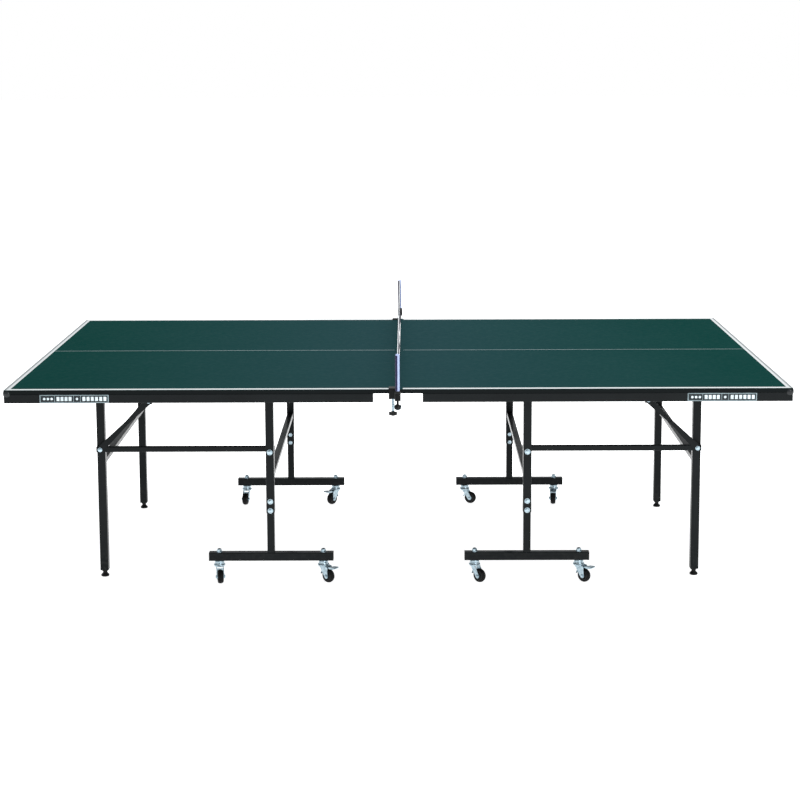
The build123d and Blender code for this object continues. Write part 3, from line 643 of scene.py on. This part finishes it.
def trim(half, side):
    """Rounded corner bumpers, side rail plugs and a blank framed badge."""
    body = f"top_{half}"
    node = f"trim_{half}"
    low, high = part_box(node)
    outer = high[0] if side > 0 else low[0]
    cap_high = TABLE_TOP - 0.8 * MM
    cap_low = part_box(f"board_{half}")[0][2] - 12 * MM
    radius = 15.5 * MM
    caps = bmesh.new()
    for side_y in SIDES.values():
        corner_y = high[1] if side_y > 0 else low[1]
        middle = (outer - side * radius, corner_y - side_y * radius, (cap_low + cap_high) / 2)
        add_lathe(caps, bumper(radius, (cap_high - cap_low) / 2), placed(middle, (0, 0, 1)), 48)
    piece = make_piece(f"corner_caps_{half}", caps, CORNER_PLASTIC, body)
    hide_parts(node)
    rail_low, rail_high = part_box(f"rails_{half}")
    rail_end = rail_low[0] if side > 0 else rail_high[0]
    plugs = bmesh.new()
    rail_width = 20 * MM
    wall = 1.8 * MM
    for side_y in SIDES.values():
        rail_outer = side_y * rail_high[1]
        add_box(
            plugs,
            (rail_end, rail_outer, rail_low[2]),
            (rail_end - side * 2.0 * MM, rail_outer - side_y * rail_width, rail_high[2] - 0.2 * MM),
            0.7 * MM,
        )
        add_box(
            plugs,
            (rail_end + side * 14 * MM, rail_outer - side_y * wall, rail_low[2] + wall),
            (rail_end - side * 0.5 * MM, rail_outer - side_y * (rail_width - wall), rail_high[2] - wall),
        )
    make_piece(f"rail_plugs_{half}", plugs, BLACK_PLASTIC, body)
    badge(half, side, rail_low, rail_high)


def badge(half, side, rail_low, rail_high):
    """A grey-framed strip on the front rail with dots and plain blocks."""
    body = f"top_{half}"
    centre_x = side * 1124 * MM
    middle_z = (rail_low[2] + rail_high[2]) / 2
    half_long = 120 * MM
    half_tall = 14 * MM
    rail_face = rail_low[1]
    edge = 2.6 * MM
    plate = bmesh.new()
    add_box(
        plate,
        (centre_x - half_long, rail_face, middle_z - half_tall),
        (centre_x + half_long, rail_face - 0.9 * MM, middle_z + half_tall),
        0.35 * MM,
    )
    make_piece(f"badge_plate_{half}", plate, SILVER_PLASTIC, body)
    panels = bmesh.new()
    panel_ends = [-half_long + edge, -68 * MM, -2 * MM, 22 * MM, half_long - edge]
    for start, stop in zip(panel_ends, panel_ends[1:]):
        add_box(
            panels,
            (centre_x + start + 0.8 * MM, rail_face - 0.8 * MM, middle_z - half_tall + edge),
            (centre_x + stop - 0.8 * MM, rail_face - 1.15 * MM, middle_z + half_tall - edge),
            0.12 * MM,
            1,
        )
    make_piece(f"badge_panels_{half}", panels, PANEL_PLASTIC, body)
    marks = bmesh.new()
    for out in (-104, -91, -78, 10):
        spot = placed((centre_x + out * MM, rail_face - 1.1 * MM, middle_z), (0, -1, 0))
        add_lathe(marks, dome(4.4 * MM, 0, 0.5 * MM), spot, 32)
    for first, count, pitch in ((-56, 4, 14), (34, 6, 14.6)):
        for i in range(count):
            middle = centre_x + (first + i * pitch) * MM
            add_box(
                marks,
                (middle - 5.0 * MM, rail_face - 1.1 * MM, middle_z - 7.2 * MM),
                (middle + 5.0 * MM, rail_face - 1.4 * MM, middle_z + 7.2 * MM),
                0.12 * MM,
                1,
            )
    make_piece(f"badge_marks_{half}", marks, PALE_DOTS, body)


for half, side in HALVES.items():
    trim(half, side)


# ------------------------------------------------------------------ link bar ends and knee rivets
def bar_end_caps(half, side):
    """Black caps pressed into both ends of the link bars."""
    caps = bmesh.new()
    low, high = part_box(f"link_bars_{half}")
    wall = 1.6 * MM
    for side_y in SIDES.values():
        outer = side_y * LINK_FACE
        for end, outward in ((low[0], -1), (high[0], 1)):
            add_box(
                caps,
                (end, outer, low[2]),
                (end + outward * 2.5 * MM, outer - side_y * LINK_BAR, high[2]),
                1.0 * MM,
            )
            add_box(
                caps,
                (end + outward * 0.6 * MM, outer - side_y * wall, low[2] + wall),
                (end - outward * 4 * MM, outer - side_y * (LINK_BAR - wall), high[2] - wall),
            )
    make_piece(f"link_caps_{half}", caps, BLACK_PLASTIC, f"links_{half}")


def knee_rivets(half, side):
    """The rivet heads seen on the upper brace links at the knee, and a stop pin beside each."""
    rivets = bmesh.new()
    low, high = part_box(f"brace_upper_{half}")
    knee_radius = 7 * MM
    knee_x = (high[0] if side > 0 else low[0]) - side * knee_radius
    knee_z = low[2] + knee_radius
    stop_distance = 34
    along = Vector((abs(BRACE_TOP[0]) * side - knee_x, 0, BRACE_TOP[2] - knee_z)).normalized()
    for side_y in SIDES.values():
        face = side_y * UPPER_BRACE_FACE
        knee = (knee_x, face, knee_z)
        add_lathe(rivets, dome(5.0 * MM, 0, 2.4 * MM), placed(knee, (0, side_y, 0)), 28)
        stop = Vector(knee) + along * stop_distance * MM
        add_lathe(rivets, dome(3.0 * MM, 0, 1.8 * MM), placed(stop, (0, side_y, 0)), 24)
    make_piece(f"knee_rivets_{half}", rivets, FRAME_PAINT, f"brace_upper_{half}")


for half, side in HALVES.items():
    bar_end_caps(half, side)
    knee_rivets(half, side)


# ------------------------------------------------------------------ castors
def castor_wheel(place):
    """A crowned tyre on a spoked hub, turning on the axle."""
    spin = joint(f"spin_{place}")
    matrix = placed(spin["pos_m"], spin["axis"])
    radius = 25 * MM
    half_width = 10 * MM
    tyre = bmesh.new()
    rim = 17.5 * MM
    shoulder = radius - 4 * MM
    profile = [(rim, -half_width + 1 * MM), (rim + 2 * MM, -half_width), (shoulder, -half_width)]
    crown_steps = 9
    for i in range(crown_steps + 1):
        across = -1 + 2 * i / crown_steps
        drop = 3.0 * MM * across * across
        profile.append((radius - drop, across * (half_width - 0.6 * MM)))
    profile += [(shoulder, half_width), (rim + 2 * MM, half_width), (rim, half_width - 1 * MM)]
    profile.append(profile[0])
    add_lathe(tyre, profile, matrix, 56)
    bmesh.ops.remove_doubles(tyre, verts=tyre.verts, dist=1e-7)
    tread = make_piece(f"tyre_{place}", tyre, RUBBER, f"wheel_{place}")
    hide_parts(f"castor_wheel_{place}")
    hub = bmesh.new()
    bore = 4.05 * MM
    web = 4.5 * MM
    one_side = [
        (rim, half_width - 1.0 * MM), (15.6 * MM, half_width - 1.4 * MM), (15 * MM, web), (9.4 * MM, web),
        (9 * MM, half_width - 0.8 * MM), (8.5 * MM, half_width), (bore, half_width),
    ]
    hub_profile = [(reach, -height) for reach, height in one_side[::-1]] + one_side + [(bore, -half_width)]
    add_lathe(hub, hub_profile, matrix, 48)
    bmesh.ops.remove_doubles(hub, verts=hub.verts, dist=1e-7)
    start, stop, half_spoke = 9.2 * MM, 15.3 * MM, 0.9 * MM
    spoke = [(start, -half_spoke), (stop, -half_spoke), (stop, half_spoke), (start, half_spoke)]
    for face in (-1, 1):
        low, high = sorted((face * (web - 0.2 * MM), face * (half_width - 2.2 * MM)))
        for i in range(6):
            turn = Matrix.Rotation(math.pi * i / 3, 4, "Z")
            add_prism(hub, spoke, low, high, matrix @ turn)
    make_piece(f"hub_{place}", hub, HUB_PLASTIC, f"wheel_{place}")


def castor_details(place):
    """Raceway ring under the mounting plate, hexagon heads on the axle, and the curved web of the fork."""
    spin = joint(f"spin_{place}")
    swivel = joint(f"swivel_{place}")["pos_m"]
    mesh = bmesh.new()
    upright = placed((swivel[0], swivel[1], 0), (0, 0, 1))
    ring_inner = 18.05 * MM
    ring = [(ring_inner, 59 * MM)]
    for i in range(7):
        angle = -math.pi / 2 + math.pi * i / 6
        ring.append((18.6 * MM + 2.4 * MM * math.cos(angle), 63 * MM + 3.4 * MM * math.sin(angle)))
    ring += [(ring_inner, 67 * MM), (17.0 * MM, 63 * MM), (ring_inner, 59 * MM)]
    add_lathe(mesh, ring, upright, 48)
    for face in (-1, 1):
        outward = placed(spin["pos_m"], Vector(spin["axis"]) * face)
        add_prism(mesh, polygon(6.4 * MM, 6), 13.5 * MM, 16.5 * MM, outward, 0.5 * MM)
        add_lathe(mesh, dome(4.6 * MM, 16.4 * MM, 1.6 * MM), outward, 24)
    centre = Vector(spin["pos_m"])
    trail = Vector((centre.x - swivel[0], centre.y - swivel[1], 0)).normalized()
    side_axis = Vector((0, 0, 1)).cross(trail)
    basis = Matrix((-trail, Vector((0, 0, 1)), side_axis)).transposed().to_4x4()
    web = Matrix.Translation(centre) @ basis
    half_web = 10.9 * MM
    add_prism(mesh, ring_sector(28.2 * MM, 30.2 * MM, 8, 74, 14), -half_web, half_web, web, 0.4 * MM, 1)
    bmesh.ops.remove_doubles(mesh, verts=mesh.verts, dist=1e-7)
    make_piece(f"castor_fittings_{place}", mesh, ZINC, f"castor_{place}")


for half in HALVES:
    for side_name in SIDES:
        for end in ("outer", "inner"):
            castor_wheel(f"{half}_{side_name}_{end}")
            castor_details(f"{half}_{side_name}_{end}")


# ------------------------------------------------------------------ net set
NET_LOW, NET_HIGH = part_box("net")
NET_WIDTH = NET_HIGH[1] - NET_LOW[1]
TAPE = 15 * MM
SOCKET_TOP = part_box("net_clamps")[1][2]


def net_top(y):
    """The height of the tape, which sags a little between the posts."""
    sag = 2.0 * MM
    return NET_HIGH[2] - sag * (1 - (2 * (y - NET_LOW[1]) / NET_WIDTH - 1) ** 2)


def net_drift(y, z):
    """How far the hanging net leaves its plane, growing towards the bottom."""
    share = (NET_HIGH[2] - z) / (NET_HIGH[2] - NET_LOW[2])
    broad_wave = 1.1 * MM * math.sin(9.0 * y + 1.3)
    fine_wave = 0.5 * MM * math.sin(31.0 * y + 40.0 * z)
    return share * (broad_wave + fine_wave)


def net_mesh():
    """The knotted mesh: a grid with a wire of thread thickness along each of its edges."""
    low, high, width, tape = NET_LOW, NET_HIGH, NET_WIDTH, TAPE
    thread = 1.1 * MM
    cell = 12 * MM
    columns = round(width / cell)
    rows = round((high[2] - tape - low[2]) / cell)
    mesh = bmesh.new()
    grid = []
    bottom = low[2] + 1.5 * MM
    for i in range(columns + 1):
        y = low[1] + width * i / columns
        top = net_top(y) - tape + 1 * MM
        line = []
        for j in range(rows + 1):
            z = bottom + (top - bottom) * j / rows
            inside = 0 < i < columns and 0 < j < rows
            wobble = random.uniform(-0.5, 0.5) * MM if inside else 0.0
            line.append(mesh.verts.new((net_drift(y, z), y + wobble, z + wobble * 0.6)))
        grid.append(line)
    for i in range(columns):
        for j in range(rows):
            mesh.faces.new((grid[i][j], grid[i + 1][j], grid[i + 1][j + 1], grid[i][j + 1]))
    netting = make_piece("netting", mesh, THREAD, "top_left")
    wires = netting.modifiers.new("threads", "WIREFRAME")
    wires.thickness = thread
    wires.use_even_offset = False
    wires.use_replace = True
    with bpy.context.temp_override(object=netting, active_object=netting, selected_objects=[netting]):
        bpy.ops.object.modifier_apply(modifier=wires.name)
    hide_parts("net")


def net_tape():
    """The white tape folded over the net's top edge, with rolled sides."""
    width, tape = NET_WIDTH, TAPE
    steps = 120
    overhang = 3.4 * MM
    one_side = [(0.5, 0.0), (0.7, 0.15), (0.75, 0.7), (1.25, 0.84), (1.2, 0.95), (0.6, 1.0)]
    section = [(-across, up) for across, up in one_side] + one_side[::-1]
    mesh = bmesh.new()
    rings = []
    for i in range(steps + 1):
        y = NET_LOW[1] - overhang + (width + 2 * overhang) * i / steps
        top = net_top(y)
        middle = net_drift(y, top)
        rings.append([
            mesh.verts.new((middle + across * MM, y, top - tape + up * tape)) for across, up in section
        ])
    for first, second in zip(rings, rings[1:]):
        for i in range(len(section)):
            j = (i + 1) % len(section)
            mesh.faces.new((first[i], first[j], second[j], second[i]))
    mesh.faces.new(rings[0])
    mesh.faces.new(rings[-1][::-1])
    piece = make_piece("net_tape", mesh, WHITE_TAPE, "top_left")


def net_edges():
    """The hems beside the posts and the cord along the bottom."""
    hem = 14 * MM
    half_thick = 1.0 * MM
    hems = bmesh.new()
    for side_y in SIDES.values():
        edge = side_y * NET_HIGH[1]
        add_box(
            hems,
            (-half_thick, edge + side_y * 3.0 * MM, SOCKET_TOP + 10 * MM),
            (half_thick, edge - side_y * hem, NET_HIGH[2] - TAPE + 1.5 * MM),
            0.6 * MM,
        )
    make_piece("net_hems", hems, NAVY_TAPE, "top_left")
    cord = bmesh.new()
    steps = 90
    places = [NET_LOW[1] + NET_WIDTH * i / steps for i in range(steps + 1)]
    points = [(net_drift(y, NET_LOW[2]), y, NET_LOW[2] + 1.6 * MM) for y in places]
    add_tube_path(cord, points, 1.5 * MM, 10)
    make_piece("net_bottom_line", cord, NAVY_TAPE, "top_left")


def post_profile(low, high):
    """A lathe profile of a net post with a rounded tip."""
    radius = 7 * MM
    tip = 5 * MM
    steps = 6
    profile = [(0, low), (radius, low), (radius, high - tip)]
    for i in range(1, steps):
        angle = math.pi / 2 * i / steps
        profile.append((radius * math.cos(angle), high - tip + tip * math.sin(angle)))
    return profile + [(0, high)]


def tension_loop(side_y, reach, knob_low, socket_low):
    """The points of a wire bail that hangs from a socket round its tension knob."""
    steps = 24
    y = side_y * reach
    top = socket_low + 2 * MM
    points = [(-8 * MM, y, top)]
    for k in range(steps + 1):
        angle = math.pi * k / steps
        points.append((-12.4 * MM * math.cos(angle), y, knob_low + (12 - 14 * math.sin(angle)) * MM))
    return points + [(8 * MM, y, top)]


def net_posts():
    """Blue posts with rounded tips, collars, navy cloth half-sleeves that stand as painted shade on the
    posts' -X sides, and tension knobs with wire loops.
    """
    low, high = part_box("net_posts")
    spread = high[1] - 7 * MM
    socket_low = low[2] - 3 * MM
    knob_low = socket_low - 30 * MM
    collar_inner = 7.05 * MM
    posts = bmesh.new()
    fittings = bmesh.new()
    loops = bmesh.new()
    shade_sleeves = bmesh.new()
    for side_y in SIDES.values():
        matrix = placed((0, side_y * spread, 0), (0, 0, 1))
        add_lathe(posts, post_profile(low[2], high[2]), matrix, 48)
        collar = [
            (collar_inner, SOCKET_TOP), (9.6 * MM, SOCKET_TOP), (10.0 * MM, SOCKET_TOP + 1 * MM),
            (10.0 * MM, SOCKET_TOP + 7 * MM), (8.6 * MM, SOCKET_TOP + 9 * MM),
            (collar_inner, SOCKET_TOP + 9 * MM), (collar_inner, SOCKET_TOP),
        ]
        add_lathe(fittings, collar, matrix, 40)
        # painted shade: a navy cloth sleeve over the -X half of each post stands in for the post's shaded
        # side
        shade_sleeve = ring_sector(7.1 * MM, 8.3 * MM, 95, 170, 12)
        upright = Matrix.Translation((0, side_y * spread, 0))
        add_prism(shade_sleeves, shade_sleeve, SOCKET_TOP + 10 * MM, high[2] - 6 * MM, upright, 0.3 * MM, 1)
        knob = [
            (0, knob_low), (9 * MM, knob_low), (11.6 * MM, knob_low + 2.5 * MM),
            (11.6 * MM, knob_low + 11 * MM), (9.5 * MM, knob_low + 15 * MM), (4 * MM, knob_low + 16 * MM),
            (4 * MM, socket_low), (0, socket_low),
        ]
        add_lathe(fittings, knob, matrix, 36)
        add_tube_path(loops, tension_loop(side_y, spread + 4 * MM, knob_low, socket_low), 1.0 * MM, 8)
    bmesh.ops.remove_doubles(fittings, verts=fittings.verts, dist=1e-7)
    piece = make_piece("net_post_tubes", posts, POST_ENAMEL, "top_left")
    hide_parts("net_posts")
    make_piece("net_post_collars", fittings, BLACK_PLASTIC, "top_left")
    make_piece("net_tension_loops", loops, ZINC, "top_left")
    make_piece("net_post_shade_sleeves", shade_sleeves, NAVY_TAPE, "top_left")


def clamp_screw(side_name):
    """A threaded spindle with a flat pad."""
    node = f"clamp_screw_{side_name}"
    low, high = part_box(node)
    matrix = placed((middle_x(node), (low[1] + high[1]) / 2, 0), (0, 0, 1))
    mesh = bmesh.new()
    pad = 4 * MM
    top = high[2]
    add_lathe(mesh, rounded(9.8 * MM, top, pad, 0.8 * MM), matrix, 40)
    pitch = 1.25 * MM
    core, root, crest = 3.3 * MM, 3.35 * MM, 3.95 * MM
    thread = [(0, low[2]), (core, low[2])]
    z = low[2] + 0.4 * MM
    while z < top - pad - pitch:
        thread += [(root, z), (crest, z + pitch * 0.35), (crest, z + pitch * 0.55), (root, z + pitch * 0.9)]
        z += pitch
    thread += [(core, top - pad), (0, top - pad)]
    add_lathe(mesh, thread, matrix, 28)
    piece = make_piece(f"clamp_spindle_{side_name}", mesh, ZINC, node, 0.9)
    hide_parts(node)


def wing(outward):
    """The outline of one wing of a knob: a half ellipse on a short neck."""
    steps = 12
    outline = []
    for i in range(steps + 1):
        angle = -math.pi / 2 + math.pi * i / steps
        reach = 9.4 * MM + 5.0 * MM * math.cos(angle)
        outline.append((outward * reach, 4.6 * MM * math.sin(angle)))
    neck = outward * 2 * MM
    return outline + [(neck, 3.0 * MM), (neck, -3.0 * MM)]


def clamp_knob(side_name):
    """A wing knob with a waisted hub."""
    node = f"clamp_knob_{side_name}"
    low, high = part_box(node)
    x = middle_x(node)
    y = (low[1] + high[1]) / 2
    mesh = bmesh.new()
    hub = [
        (0, low[2]), (5.5 * MM, low[2]), (7.2 * MM, low[2] + 1.5 * MM), (7.4 * MM, low[2] + 6 * MM),
        (6.4 * MM, low[2] + 11 * MM), (6.6 * MM, high[2] - 1 * MM), (5.8 * MM, high[2]), (0, high[2]),
    ]
    add_lathe(mesh, hub, placed((x, y, 0), (0, 0, 1)), 36)
    square_on = Matrix.Translation((x, y, 0))
    for outward in (-1, 1):
        add_prism(mesh, wing(outward), low[2] + 2 * MM, high[2] - 2.5 * MM, square_on, 1.4 * MM, 3)
    piece = make_piece(f"wing_knob_{side_name}", mesh, BLACK_PLASTIC, node)
    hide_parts(node)


net_mesh()
net_tape()
net_edges()
net_posts()
for side_name in SIDES:
    clamp_screw(side_name)
    clamp_knob(side_name)


# ------------------------------------------------------------------ floor, light and camera
def floor():
    """A wide white disc, lifted by a little emission so that it stays as pale as the backdrop."""
    mesh = bmesh.new()
    bmesh.ops.create_circle(mesh, cap_ends=True, segments=96, radius=60.0)
    data = bpy.data.meshes.new("floor")
    mesh.to_mesh(data)
    mesh.free()
    plane = bpy.data.objects.new("floor", data)
    bpy.context.scene.collection.objects.link(plane)
    s = Shader("floor_white", (0.93, 0.93, 0.93), 0.9, specular=0.0)
    s.colour(s.mix(s.ramp(s.noise(0.8), 0.3, 0.7), (0.92, 0.92, 0.92), (0.94, 0.94, 0.94)))
    s.bsdf.inputs["Emission Color"].default_value = (1.0, 1.0, 1.0, 1.0)
    s.bsdf.inputs["Emission Strength"].default_value = 0.86
    data.materials.append(s.material)


def area_light(name, place, target, size, power, colour=(1, 1, 1)):
    """A rectangular lamp at a place, turned to a target."""
    data = bpy.data.lights.new(name, "AREA")
    data.shape = "RECTANGLE"
    data.size, data.size_y = size
    data.energy = power
    data.color = colour
    lamp = bpy.data.objects.new(name, data)
    lamp.location = place
    lamp.rotation_euler = (Vector(target) - Vector(place)).to_track_quat("-Z", "Y").to_euler()
    bpy.context.scene.collection.objects.link(lamp)


def studio():
    """A white backdrop for the camera, a dimmer even light on the object, and two soft lamps."""
    world = bpy.data.worlds.new("studio")
    world.use_nodes = True
    tree = world.node_tree
    backdrop = tree.nodes["Background"]
    backdrop.inputs["Color"].default_value = (1.0, 1.0, 1.0, 1.0)
    backdrop.inputs["Strength"].default_value = 1.0
    ambient = tree.nodes.new("ShaderNodeBackground")
    ambient.inputs["Color"].default_value = (0.95, 0.98, 1.0, 1.0)
    ambient.inputs["Strength"].default_value = 0.55
    mix = tree.nodes.new("ShaderNodeMixShader")
    path = tree.nodes.new("ShaderNodeLightPath")
    tree.links.new(path.outputs["Is Camera Ray"], mix.inputs[0])
    tree.links.new(ambient.outputs[0], mix.inputs[1])
    tree.links.new(backdrop.outputs[0], mix.inputs[2])
    tree.links.new(mix.outputs[0], tree.nodes["World Output"].inputs["Surface"])
    bpy.context.scene.world = world
    area_light("overhead_soft", (0.6, 0.4, 5.2), (0, 0, 0.6), (5.0, 4.0), 260.0)
    area_light("front_fill", (3.2, -6.0, 2.4), (0, 0, 0.4), (3.0, 2.0), 90.0, (0.96, 0.98, 1.0))


def camera():
    """The view from the front, a little above the table top."""
    place = Vector((0.0364, -6.486, 1.931))
    yaw = math.radians(-0.275)
    pitch = math.radians(7.577)
    roll = math.radians(-0.231)
    forward = Vector((math.sin(yaw) * math.cos(pitch), math.cos(yaw) * math.cos(pitch), -math.sin(pitch)))
    right = Vector((math.cos(yaw), -math.sin(yaw), 0))
    up = right.cross(forward)
    turned_right = right * math.cos(roll) + up * math.sin(roll)
    turned_up = up * math.cos(roll) - right * math.sin(roll)
    data = bpy.data.cameras.new("camera")
    data.sensor_width = 36.0
    data.lens = 75.69
    data.shift_y = -0.16
    data.clip_end = 200.0
    eye = bpy.data.objects.new("camera", data)
    basis = Matrix((turned_right, turned_up, -forward)).transposed().to_4x4()
    eye.matrix_world = Matrix.Translation(place) @ basis
    bpy.context.scene.collection.objects.link(eye)
    bpy.context.scene.camera = eye


floor()
studio()
camera()
bpy.context.scene.view_settings.view_transform = "Standard"
